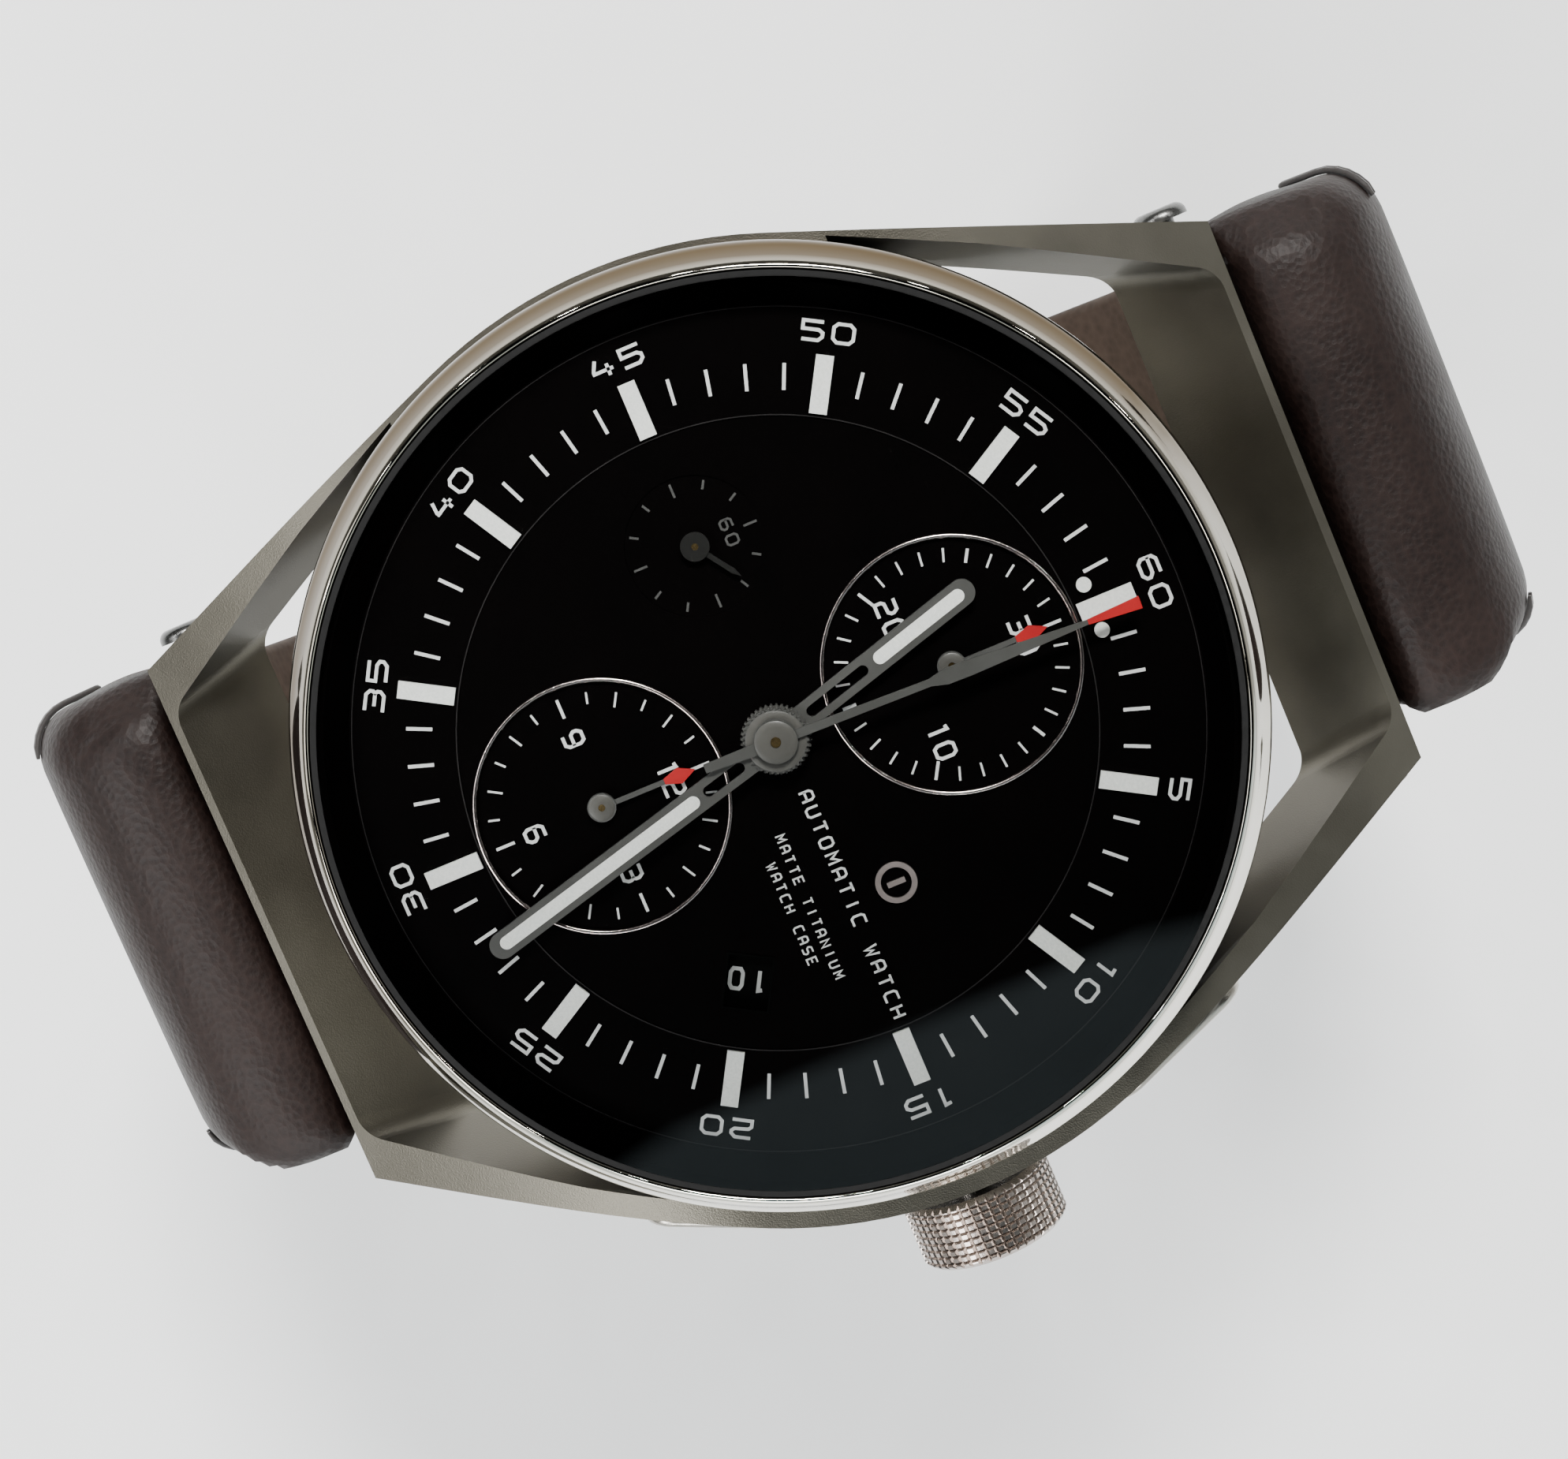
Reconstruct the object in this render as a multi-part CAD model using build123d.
"""Chronograph wristwatch with a skeletonised lug frame and a leather strap closed in a loop.

Frame: origin at the centre of the case back's flat face, +Z out of the dial, +Y to 12 o'clock,
+X to 3 o'clock and the crown. All lengths are millimetres.
"""
from build123d import *
import math
import os

# ---- case drum and its covers: (radius, z) unless a name says otherwise
DRUM_R = 20.4
CASE_Z0, CASE_TOP, NECK_TOP = 1.7, 10.45, 11.65
FLANGE_R, FLANGE_TOP = 15.4, 3.0
CAVITY_R, SEAT_R, SEAT_Z = 17.9, 18.7, 10.2
NECK_R = 19.45
DRUM_CHAMFER = 1.0
BEZEL_R, BEZEL_LIP_R, BEZEL_BORE_R = 20.85, 19.95, 19.6
BEZEL_Z0, BEZEL_WALL_Z, BEZEL_LIP_Z, BEZEL_TOP = 10.5, 11.8, 13.2, 13.5
BEZEL_BREAK, BEZEL_LIP_BREAK = 0.12, 0.05
CRYSTAL_R, CRYSTAL_Z0, CRYSTAL_EDGE, CRYSTAL_TOP, CRYSTAL_UNDER = 19.3, 12.9, 13.45, 14.8, 13.6
CRYSTAL_FOOT_W = 1.0
GASKET_GAP, PRESS_GAP = 0.02, 0.02
BACK_WINDOW_R, BACK_GLASS_R, BACK_GLASS_T, BACK_GLASS_BREAK = 14.0, 13.6, 1.0, 0.12
BACK_RING_R, BACK_LIP_R, BACK_CHAMFER, BACK_RECESS = 18.9, 12.9, 0.8, 0.15
BACK_SCREWS, BACK_SCREW_RING = 6, 17.3
SCREW_HEAD_R, SCREW_HEAD_T, SCREW_R, SCREW_PLAY = 0.9, 0.5, 0.5, 0.03
BACK_SEAL_R, BACK_SEAL_W, BACK_SEAL_T, GROOVE_GAP = 15.7, 0.4, 0.4, 0.05

# ---- lug frame
LUG_Y, LUG_X = 25.6, 12.8
SIDE_R_CROWN, SIDE_R_PLAIN = 22.0, 21.15
FRAME_TOP, LUG_TOP, LUG_BOTTOM = 10.4, 4.7, 0.1
WINDOW_Y, WINDOW_X, WINDOW_SLOPE = 17.5, 15.0, 0.48
WINDOW_LOW_Z, WINDOW_HIGH_Z = 1.0, 9.0
WINDOW_LOW_Y, WINDOW_RISE, WINDOW_SIDE_RISE = 21.1, 1.05, 0.15
WINDOW_CORNER_R, WINDOW_NEAR_Y = 1.3, 10.0
PANEL_T = 0.6
HORN_X = 11.0
BAR_Y, BAR_Z, BAR_R, BAR_HEAD_R, BAR_HEAD_T = 24.1, 1.5, 0.6, 1.25, 0.6
BAR_REACH, BAR_CLEARANCE, HEAD_ROUNDING = 13.5, 0.04, 0.8

# ---- strap loop and clasp
STRAP_W, STRAP_END_W, STRAP_TONGUE_W = 24.6, 20.4, 21.4
STRAP_START_Y, STRAP_LOOP_Y, STRAP_TURN_Z = 25.8, 34.5, -6.5
STRAP_T, TONGUE_R = 4.0, 1.2
STRAP_END_Z0, STRAP_END_Z1, STRAP_EDGE_R = -44.55, -42.25, 2.0
CLASP_Z0, COVER_T, COVER_W, COVER_WALL_T = -46.0, 1.1, 20.4, 1.1
CLASP_BAR_Y, CLASP_BAR_Z, CLASP_BAR_R = 17.2, -43.4, 0.6
KNUCKLE_R, KNUCKLE_Y, KNUCKLE_Z = 1.0, -12.6, -43.7
KNUCKLE_INNER, KNUCKLE_OUTER, KNUCKLE_PIN_R, KNUCKLE_FOOT, WALL_SHIFT = 1.9, 3.8, 0.4, 1.6, 0.5
BLADE_W, BLADE_T, BLADE_GAP, BLADE_SLOTS, BLADE_SLOT = 12.0, 0.8, 0.3, (-4.0, 2.5, 9.0), (5.0, 2.0)
BUTTON_Y, BUTTON_Z, BUTTON_L, BUTTON_H = 8.0, -44.0, 4.0, 1.2

# ---- dial and hands
DIAL_R, DIAL_TOP, DIAL_T, SUB_RECESS = 18.6, 11.7, 0.4, 0.12
STEP_R, STEP_DEPTH = 13.6, 0.06
DIAL_BORE_R, COUNTER_BORE_R = 1.05, 0.3
SUB_TOP, SUB_LOW, SMALL_SECONDS = (0.0, 8.0), (-0.1, -8.0), (-8.8, 0.0)
SUB_R, SUB_RIM_W = 5.55, 0.16
SMALL_R = 3.0
DATE_R, DATE_ANGLE, DATE_W, DATE_H = 10.72, -29.3, 2.3, 1.9
REHAUT_R0, REHAUT_R1, REHAUT_TOP = 18.2, 19.1, 12.85
MARK_R0, MARK_R1, MARK_W, MARK_T = 13.75, 16.2, 0.75, 0.16
HOUR_ANGLE, MINUTE_ANGLE, CHRONO_ANGLE = 106.0, -75.5, 88.6
COUNTER_HAND_Z, HOUR_HAND_Z, MINUTE_HAND_Z, CHRONO_HAND_Z = 11.82, 12.05, 12.47, 12.86
COUNTER_HUB_TOP, HAND_T, HUB_RISE, NEEDLE_T = 12.0, 0.2, 0.1, 0.1
LUME_FLOOR, LUME_T = 0.1, 0.12
SLOT_SHARE, LUME_SHARE, SERRATION = 0.42, 0.5, 0.09
HOUR = dict(length=10.5, width=1.15, slot=(1.7, 4.9), hub_r=1.5, serrations=40, bore_r=0.95,
            lume=(5.3, 10.0), z0=HOUR_HAND_Z, angle=HOUR_ANGLE)
MINUTE = dict(length=15.2, width=1.15, slot=(1.7, 3.8), hub_r=1.4, serrations=36, bore_r=0.55,
              lume=(4.1, 14.7), z0=MINUTE_HAND_Z, angle=MINUTE_ANGLE)

# ---- crown and pushers
STEM_Z, STEM_R = 6.7, 0.45
CROWN_R, CROWN_X0, CROWN_X1, CROWN_CHAMFER = 3.45, 22.4, 25.4, 0.22
CROWN_ROWS, CROWN_TEETH, CROWN_PITCH_D = 7, 48, 0.16
TUBE_R, TUBE_BORE, TUBE_X, TUBE_L = 1.3, 0.9, 20.15, 4.3
PUSH_ANGLE, PUSH_S0, PUSH_S1, PUSH_H, PUSH_PROUD, PUSH_TRAVEL = 23.1, -1.6, 5.9, 2.6, 0.9, 0.7
PUSH_ROD_R, PUSH_ROD_L, PUSH_INSET, RUNNING = 0.6, 5.2, 0.25, 0.06

# ---- movement: plates by z, arbors by (x, y)
PLATE_R, PLATE_Z0, PLATE_Z1 = 15.1, 9.0, 10.7
HOLDER_Z0, HOLDER_Z1 = 3.1, 11.2
BRIDGE_R, BRIDGE_Z0, BRIDGE_Z1 = 14.9, 3.7, 4.9
PILLAR_RING, PILLAR_ANGLES, PILLAR_R, FOOT_RING, FOOT_R = 13.4, (-165, -100, -45, 20), 1.1, 13.6, 1.15
SINK_R, SINK_T, SINK_BORE_R, SINK_BORE_L = 0.9, 0.4, 0.45, 3.0
BALANCE_BRIDGE_T, BALANCE_BOSS_R, BALANCE_ARM_W = 0.75, 1.7, 1.9
BALANCE_AT, BALANCE_R, BALANCE_SPLIT = (-3.6, 8.5), 4.2, 4.0
BARREL_AT, BARREL_R = (2.6, -6.13), 5.6
THIRD_AT, FOURTH_AT, ESCAPE_AT, PALLET_AT = (-4.25, 0.3), SMALL_SECONDS, (-7.64, 3.84), (-5.5, 5.9)
MOTION_AT = (2.56, 0.0)
MOTION_BORE_R, MOTION_STUD_R, CHRONO_ARBOR_R = 0.22, 0.2, 0.22
ARBOR_R, PIVOT_R, PIVOT_L, JEWEL_R, JEWEL_BORE, JEWEL_T = 0.15, 0.09, 0.5, 0.45, 0.13, 0.6
ARBOR_PLAY, PLATE_BORE_R, CENTRE_BORE_R = 0.05, 0.25, 0.6
ROTOR_R, ROTOR_Z0, ROTOR_RIM_T, BEARING_R = 14.2, 2.1, 1.2, 1.8
DATE_RING = (9.3, 12.2, 10.9, 11.1)


def ring(r_out, r_in, z0, z1, at=(0, 0)):
    """A flat ring, or a disc where r_in is 0, standing between two heights."""
    section = Circle(r_out)
    if r_in > 0:
        section -= Circle(r_in)
    return Pos(at[0], at[1], z0) * extrude(section, z1 - z0)


def turned(points):
    """A body of revolution about Z from its (radius, z) outline."""
    return revolve(Plane.XZ * make_face(Polyline(*points, close=True)), Axis.Z)


def prism(points, z0, z1):
    """A straight prism standing between two heights on an (x, y) outline."""
    return Pos(0, 0, z0) * extrude(make_face(Polyline(*points, close=True)), z1 - z0)


def polar(radius, degrees):
    """The (x, y) point at a radius and an angle from +X."""
    return radius * math.cos(math.radians(degrees)), radius * math.sin(math.radians(degrees))


def across(outline, half_width):
    """A solid of constant section: a (y, z) face drawn out to both sides of the YZ plane."""
    return extrude(Plane.YZ * outline, half_width, both=True)


def toothed(r_tip, depth, teeth, z0, z1, at=(0, 0)):
    """A wheel with straight-flanked teeth."""
    step = 360 / teeth
    outline = []
    for i in range(teeth):
        for r, part in ((r_tip - depth, 0.0), (r_tip - depth, 0.35), (r_tip, 0.5), (r_tip, 0.8)):
            outline.append(polar(r, (i + part) * step))
    return Pos(at[0], at[1], 0) * prism(outline, z0, z1)


def spoked(wheel_r, hub_r, spokes, width, z0, z1, at, rim):
    """A wheel blank's crossings: the openings between its spokes, as a cutter."""
    opening = ring(wheel_r - rim, hub_r, z0, z1)
    for i in range(spokes):
        arm = Pos(0, 0, (z0 + z1) / 2) * Box(2 * wheel_r, width, 2 * (z1 - z0))
        opening -= Rot(0, 0, i * 180 / spokes) * arm
    return Pos(at[0], at[1], 0) * opening


def crossed_wheel(at, tip_r, depth, teeth, z0, z1, hub_r, spokes=2, spoke_w=0.5):
    """A toothed wheel with its crossings cut out."""
    over, rim_w = 0.1, 0.45
    blank = toothed(tip_r, depth, teeth, z0, z1, at)
    return blank - spoked(tip_r - depth, hub_r, spokes, spoke_w, z0 - over, z1 + over, at, rim_w)


def arbor(at, z0=BRIDGE_Z1 + ARBOR_PLAY, z1=PLATE_Z0 - ARBOR_PLAY, low_pivot=True, high_pivot=True):
    """A slim arbor with a pivot at either end."""
    body = ring(ARBOR_R, 0, z0, z1, at)
    if low_pivot:
        body += ring(PIVOT_R, 0, z0 - PIVOT_L, z0, at)
    if high_pivot:
        body += ring(PIVOT_R, 0, z1, z1 + PIVOT_L, at)
    return body


def disc_yz(y, z, radius):
    """A round (y, z) face for drawing across."""
    return Pos(y, z) * Circle(radius)


def radial(angle, reach, z=STEM_Z, offset=0.0):
    """The placement whose local Z points outward at an angle, at a reach from the axis."""
    x, y = polar(reach, angle)
    sx, sy = polar(offset, angle + 90)
    return Plane(origin=(x + sx, y + sy, z), x_dir=(*polar(1, angle + 90), 0), z_dir=(*polar(1, angle), 0))


def cap(chord_r, edge_z, top_z):
    """The sphere about the Z axis whose top is at top_z and which passes through a rim at edge_z."""
    rise = top_z - edge_z
    radius = (chord_r ** 2 + rise ** 2) / (2 * rise)
    return Pos(0, 0, top_z - radius) * Sphere(radius)


# ------------------------------------------------------------------ case
def case_middle():
    body = turned([
        (FLANGE_R, CASE_Z0), (DRUM_R - DRUM_CHAMFER, CASE_Z0), (DRUM_R, CASE_Z0 + DRUM_CHAMFER),
        (DRUM_R, CASE_TOP), (NECK_R, CASE_TOP), (NECK_R, NECK_TOP), (SEAT_R, NECK_TOP),
        (SEAT_R, SEAT_Z), (CAVITY_R, SEAT_Z), (CAVITY_R, FLANGE_TOP), (FLANGE_R, FLANGE_TOP)])
    body -= ring(BACK_SEAL_R + BACK_SEAL_W / 2 + GROOVE_GAP, BACK_SEAL_R - BACK_SEAL_W / 2 - GROOVE_GAP,
                 CASE_Z0, CASE_Z0 + BACK_SEAL_T + GROOVE_GAP)
    for at in back_screw_places():
        body -= ring(SCREW_R + SCREW_PLAY, 0, CASE_Z0, FLANGE_TOP - GROOVE_GAP, at)
    body -= radial(0, CAVITY_R - 1) * Cylinder(TUBE_R, 2 * (DRUM_R - CAVITY_R + 1))
    for side in (1, -1):
        body -= push_axis(side, CAVITY_R - 1) * Cylinder(PUSH_ROD_R + RUNNING, 2 * (DRUM_R - CAVITY_R + 1))
    return body


def frame_outline():
    """The hexagonal plan of the lug frame, its long sides tangent to the drum's shoulders."""
    corner_angle = math.degrees(math.atan2(LUG_Y, LUG_X))
    corner_r = math.hypot(LUG_X, LUG_Y)
    outline = None
    for radius, sign in ((SIDE_R_CROWN, 1), (SIDE_R_PLAIN, -1)):
        touch = corner_angle - math.degrees(math.acos(radius / corner_r))
        tx, ty = polar(radius, touch)
        sides = Polyline((0, LUG_Y), (sign * LUG_X, LUG_Y), (sign * tx, ty))
        shoulder = ThreePointArc((sign * tx, ty), (sign * radius, 0), (sign * tx, -ty))
        base = Polyline((sign * tx, -ty), (sign * LUG_X, -LUG_Y), (0, -LUG_Y))
        half = make_face([*sides.edges(), shoulder, *base.edges(), Line((0, -LUG_Y), (0, LUG_Y))])
        outline = half if outline is None else outline + half
    return outline


def frame_profile():
    """The side view of the lug frame: an arched bar that drops towards both ends."""
    flat, knee = 8.0, (17.5, 8.35)
    low_flat, low_knee = 13.0, (20.0, 1.3)
    low_mid = 2.4
    top_right = Spline((flat, FRAME_TOP), knee, (LUG_Y, LUG_TOP), tangents=[(1, 0), (1, -0.46)])
    low_right = Spline((LUG_Y, LUG_BOTTOM), low_knee, (low_flat, low_mid), tangents=[(-1, 0.18), (-1, 0)])
    top_left = mirror(top_right, about=Plane.YZ)
    low_left = mirror(low_right, about=Plane.YZ)
    return make_face([
        Line((-flat, FRAME_TOP), (flat, FRAME_TOP)), top_right.edge(),
        Line((LUG_Y, LUG_TOP), (LUG_Y, LUG_BOTTOM)), low_right.edge(),
        Line((low_flat, low_mid), (-low_flat, low_mid)), low_left.edge(),
        Line((-LUG_Y, LUG_BOTTOM), (-LUG_Y, LUG_TOP)), top_left.edge()])


def window_face(z):
    """The trapezoid of the lug window at a height: it narrows downwards like a funnel."""
    far_y = WINDOW_LOW_Y + WINDOW_RISE * (z - WINDOW_LOW_Z)
    grow = WINDOW_SIDE_RISE * (z - WINDOW_HIGH_Z)

    def half_x(y):
        return WINDOW_X - WINDOW_SLOPE * (y - WINDOW_Y) + grow
    points = [(half_x(WINDOW_NEAR_Y), WINDOW_NEAR_Y), (half_x(far_y), far_y),
              (-half_x(far_y), far_y), (-half_x(WINDOW_NEAR_Y), WINDOW_NEAR_Y)]
    return Pos(0, 0, z) * make_face(Polyline(*points, close=True))


def window_cutter():
    def stands_at_a_far_corner(edge):
        middle = edge.center()
        return middle.Y > WINDOW_LOW_Y and abs(middle.X) > HORN_X / 2 and edge.bounding_box().size.Z > 1

    beyond = 4.0
    funnel = loft([window_face(WINDOW_LOW_Z), window_face(WINDOW_HIGH_Z)], ruled=True)
    funnel = fillet(funnel.edges().filter_by(stands_at_a_far_corner), WINDOW_CORNER_R)
    chute = extrude(window_face(WINDOW_LOW_Z), -beyond)
    ceiling = extrude(window_face(WINDOW_HIGH_Z), beyond)
    return funnel + chute + ceiling


def strap_pocket():
    """The room under the end band for the strap's tongue, as a (y, z) outline drawn across."""
    roof, toe, low_z, toe_in = 3.6, 0.6, -2.0, 1.6

    def back_y(z):
        return WINDOW_LOW_Y + PANEL_T + WINDOW_RISE * (z - WINDOW_LOW_Z)
    outline = make_face(Polyline(
        (back_y(low_z) + toe_in, low_z), (back_y(toe), toe), (back_y(roof), roof),
        (LUG_Y + 1, roof), (LUG_Y + 1, low_z), close=True))
    return across(outline, HORN_X)


def lug_frame():
    bore_l, pusher_floor, slot_depth = 8.0, 0.3, 6.0
    body = extrude(frame_outline(), FRAME_TOP + 1) & across(frame_profile(), SIDE_R_CROWN + 3)
    body -= ring(DRUM_R + PRESS_GAP, 0, -1, FRAME_TOP + 1)
    bar_bore = Pos(0, BAR_Y, BAR_Z) * Rot(0, 90, 0) * Cylinder(BAR_R, 4 * LUG_X)
    for turn in (0, 180):
        body -= Rot(0, 0, turn) * (window_cutter() + strap_pocket() + bar_bore)
        for end in (1, -1):
            spot_face = Rot(0, 90, 0) * Cylinder(BAR_HEAD_R + GROOVE_GAP, 2)
            body -= Rot(0, 0, turn) * Pos(end * (BAR_REACH + 1), BAR_Y, BAR_Z) * spot_face
    body -= radial(0, DRUM_R) * Cylinder(TUBE_R, bore_l)
    for side in (1, -1):
        body -= push_axis(side, DRUM_R) * Cylinder(PUSH_ROD_R + RUNNING, bore_l)
        slot_plane = push_plane(side, SIDE_R_CROWN - PUSH_TRAVEL - pusher_floor)
        body -= slot_plane * push_head_blank(RUNNING, slot_depth)
    return body


def push_plane(side, reach):
    """The plane of a pusher's inner face: local X runs along the frame's side, local Y is up."""
    x, y = polar(reach, side * PUSH_ANGLE)
    outward = (*polar(1, side * PUSH_ANGLE), 0)
    along = (*polar(1, side * (PUSH_ANGLE + 90)), 0)
    return Plane(origin=(x, y, STEM_Z), x_dir=along, z_dir=outward)


def push_axis(side, reach):
    """The placement of a pusher's rod, midway along its head."""
    return push_plane(side, reach) * Pos((PUSH_S0 + PUSH_S1) / 2, 0, 0)


def push_head_blank(play, depth):
    """A long bar with round ends, lying along the frame's side."""
    length = PUSH_S1 - PUSH_S0 + 2 * play
    slot = SlotOverall(length, PUSH_H + 2 * play)
    return Pos((PUSH_S0 + PUSH_S1) / 2, 0, 0) * extrude(slot, depth)


def pusher(side):
    rounding = 0.3
    head = push_head_blank(0, PUSH_PROUD + PUSH_INSET)
    outer = head.faces().sort_by(Axis.Z)[-1]
    head = fillet(outer.edges(), rounding)
    rod = Pos((PUSH_S0 + PUSH_S1) / 2, 0, -PUSH_ROD_L / 2) * Cylinder(PUSH_ROD_R, PUSH_ROD_L)
    return push_plane(side, SIDE_R_CROWN - PUSH_INSET) * (head + rod)


def pusher_springs():
    """Return springs, one coiled round each pusher's rod inside the movement ring."""
    wire, turns, length, reach = 0.09, 5, 1.6, 15.6
    coils = []
    for side in (1, -1):
        helix = Helix(pitch=length / turns, height=length, radius=PUSH_ROD_R + RUNNING + wire)
        start = Plane(origin=helix @ 0, z_dir=helix % 0)
        coil = sweep(start * Circle(wire), helix)
        coils.append(push_axis(side, reach) * coil)
    return Compound(coils)


def back_screw_places():
    return [polar(BACK_SCREW_RING, 30 + i * 360 / BACK_SCREWS) for i in range(BACK_SCREWS)]


def case_back_ring():
    body = turned([
        (BACK_WINDOW_R, BACK_RECESS), (BACK_RING_R - BACK_CHAMFER, BACK_RECESS),
        (BACK_RING_R, BACK_RECESS + BACK_CHAMFER), (BACK_RING_R, CASE_Z0), (BACK_LIP_R, CASE_Z0),
        (BACK_LIP_R, BACK_GLASS_T), (BACK_WINDOW_R, BACK_GLASS_T)])
    for at in back_screw_places():
        body -= ring(SCREW_HEAD_R + SCREW_PLAY, 0, 0, BACK_RECESS + SCREW_HEAD_T, at)
        body -= ring(SCREW_R + SCREW_PLAY, 0, 0, CASE_Z0, at)
    return body


def slotted_screw(at, z_face, head_r, head_t, shank_r, shank_end, slot_angle=0.0):
    """A cheese-head screw that faces down, with its slot in the lower face."""
    body = ring(head_r, 0, z_face, z_face + head_t, at) + ring(shank_r, 0, z_face + head_t, shank_end, at)
    slot = Pos(at[0], at[1], z_face) * Rot(0, 0, slot_angle) * Box(3 * head_r, head_r / 4, head_t)
    return body - slot


def case_back_screws():
    sunk, tip_gap, turn_each = 0.05, 0.2, 35
    low, high = BACK_RECESS + sunk, FLANGE_TOP - tip_gap
    return Compound([
        slotted_screw(at, low, SCREW_HEAD_R, SCREW_HEAD_T - sunk, SCREW_R, high, turn_each * i)
        for i, at in enumerate(back_screw_places())])


def case_back_crystal():
    disc = ring(BACK_GLASS_R, 0, 0, BACK_GLASS_T)
    return chamfer(disc.edges().sort_by(Axis.Z)[0], BACK_GLASS_BREAK)


def case_back_gaskets():
    """The ring round the back crystal and the seal between the back and the case."""
    window_top = BACK_GLASS_T - GASKET_GAP
    window = ring(BACK_WINDOW_R - GASKET_GAP, BACK_GLASS_R + GASKET_GAP, BACK_RECESS, window_top)
    seal = ring(BACK_SEAL_R + BACK_SEAL_W / 2, BACK_SEAL_R - BACK_SEAL_W / 2, CASE_Z0, CASE_Z0 + BACK_SEAL_T)
    return Compound([window, seal])


def bezel():
    """A steep-sided ring: a short upright wall, a cone above it and a narrow lip round the crystal."""
    return turned([
        (BEZEL_BORE_R, BEZEL_Z0), (BEZEL_R - BEZEL_BREAK, BEZEL_Z0), (BEZEL_R, BEZEL_Z0 + BEZEL_BREAK),
        (BEZEL_R, BEZEL_WALL_Z), (BEZEL_LIP_R, BEZEL_LIP_Z), (BEZEL_BORE_R + BEZEL_LIP_BREAK, BEZEL_TOP),
        (BEZEL_BORE_R, BEZEL_TOP)])


def crystal():
    """A disc with a domed top and a hollow underside, each a cap of a sphere about the dial's axis."""
    blank = ring(CRYSTAL_R, 0, CRYSTAL_Z0, CRYSTAL_TOP + 1) & cap(CRYSTAL_R, CRYSTAL_EDGE, CRYSTAL_TOP)
    return blank - cap(CRYSTAL_R - CRYSTAL_FOOT_W, CRYSTAL_Z0, CRYSTAL_UNDER)


def crystal_gasket():
    return ring(BEZEL_BORE_R - GASKET_GAP, CRYSTAL_R + GASKET_GAP, CRYSTAL_Z0, CRYSTAL_EDGE - GROOVE_GAP)


def rehaut_ring():
    wall = NECK_R + GROOVE_GAP
    return turned([(REHAUT_R0, DIAL_TOP), (wall, DIAL_TOP), (wall, REHAUT_TOP), (REHAUT_R1, REHAUT_TOP)])


def lug_bars():
    bars = []
    for turn in (0, 180):
        rod = Cylinder(BAR_R - GASKET_GAP, 2 * BAR_REACH)
        for end in (1, -1):
            head = Pos(0, 0, end * (BAR_REACH + BAR_HEAD_T / 2)) * Cylinder(BAR_HEAD_R, BAR_HEAD_T)
            tip = head.faces().sort_by(Axis.Z)[-1 if end > 0 else 0]
            rod += fillet(tip.edges(), BAR_HEAD_T * HEAD_ROUNDING)
        bars.append(Rot(0, 0, turn) * Pos(0, BAR_Y, BAR_Z) * Rot(0, 90, 0) * rod)
    return Compound(bars)


# ------------------------------------------------------------------ dial side
def sub_places():
    return (SUB_TOP, SUB_LOW)


def dial():
    """The dial with its stepped middle, three sunk counters, its arbor bores and the date window."""
    body = ring(DIAL_R, 0, DIAL_TOP - DIAL_T, DIAL_TOP)
    body -= ring(STEP_R, 0, DIAL_TOP - STEP_DEPTH, DIAL_TOP)
    for at in sub_places():
        body -= ring(SUB_R, 0, DIAL_TOP - SUB_RECESS, DIAL_TOP, at)
    body -= ring(SMALL_R, 0, DIAL_TOP - SUB_RECESS, DIAL_TOP, SMALL_SECONDS)
    for at in (*sub_places(), SMALL_SECONDS):
        body -= ring(COUNTER_BORE_R, 0, DIAL_TOP - 1, DIAL_TOP + 1, at)
    body -= ring(DIAL_BORE_R, 0, DIAL_TOP - 1, DIAL_TOP + 1)
    window = Rot(0, 0, DATE_ANGLE) * Pos(DATE_R, 0, DIAL_TOP) * Box(DATE_W, DATE_H, 2)
    return body - window


def subdial_rings():
    low, proud = DIAL_TOP - SUB_RECESS, 0.05
    return Compound([ring(SUB_R, SUB_R - SUB_RIM_W, low, DIAL_TOP + proud, at) for at in sub_places()])


def hour_markers():
    """Luminous bars, one at each hour, and the two dots that flank twelve."""
    pieces = []
    for hour in range(12):
        bar = Pos((MARK_R0 + MARK_R1) / 2, 0, DIAL_TOP + MARK_T / 2) * Box(MARK_R1 - MARK_R0, MARK_W, MARK_T)
        pieces.append(Rot(0, 0, 90 - 30 * hour) * bar)
    dot_r, dot_reach, dot_angle = 0.32, 14.4, 4.1
    for side in (1, -1):
        pieces.append(ring(dot_r, 0, DIAL_TOP, DIAL_TOP + MARK_T, polar(dot_reach, 90 + side * dot_angle)))
    return Compound(pieces)


def hand_plan(hand):
    """A baton hand along +X with a round tip and an open slot beside its hub."""
    length, width = hand["length"], hand["width"]
    start, end = hand["slot"]
    tip = Pos(length - width / 2, 0) * Circle(width / 2)
    bar = Pos((length - width / 2) / 2, 0) * Rectangle(length - width / 2, width)
    slot = Pos((start + end) / 2, 0) * SlotOverall(end - start, width * SLOT_SHARE)
    return tip + bar - slot


def lume_bar(hand, thick):
    """The luminous strip's solid, as deep as asked, resting on the groove's floor."""
    start, end = hand["lume"]
    plan = SlotOverall(end - start, hand["width"] * LUME_SHARE)
    return Pos((start + end) / 2, 0, hand["z0"] + LUME_FLOOR) * extrude(plan, thick)


def main_hand(hand):
    """A framed hand: a bar with its slot, a raised serrated hub, and a groove that holds the lume."""
    z0, hub_r = hand["z0"], hand["hub_r"]
    body = Pos(0, 0, z0) * extrude(hand_plan(hand), HAND_T)
    body += toothed(hub_r, SERRATION, hand["serrations"], z0 - HUB_RISE, z0 + HAND_T + HUB_RISE)
    body -= ring(hand["bore_r"], 0, z0 - 1, z0 + 1)
    return Rot(0, 0, hand["angle"]) * (body - lume_bar(hand, 1))


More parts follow.
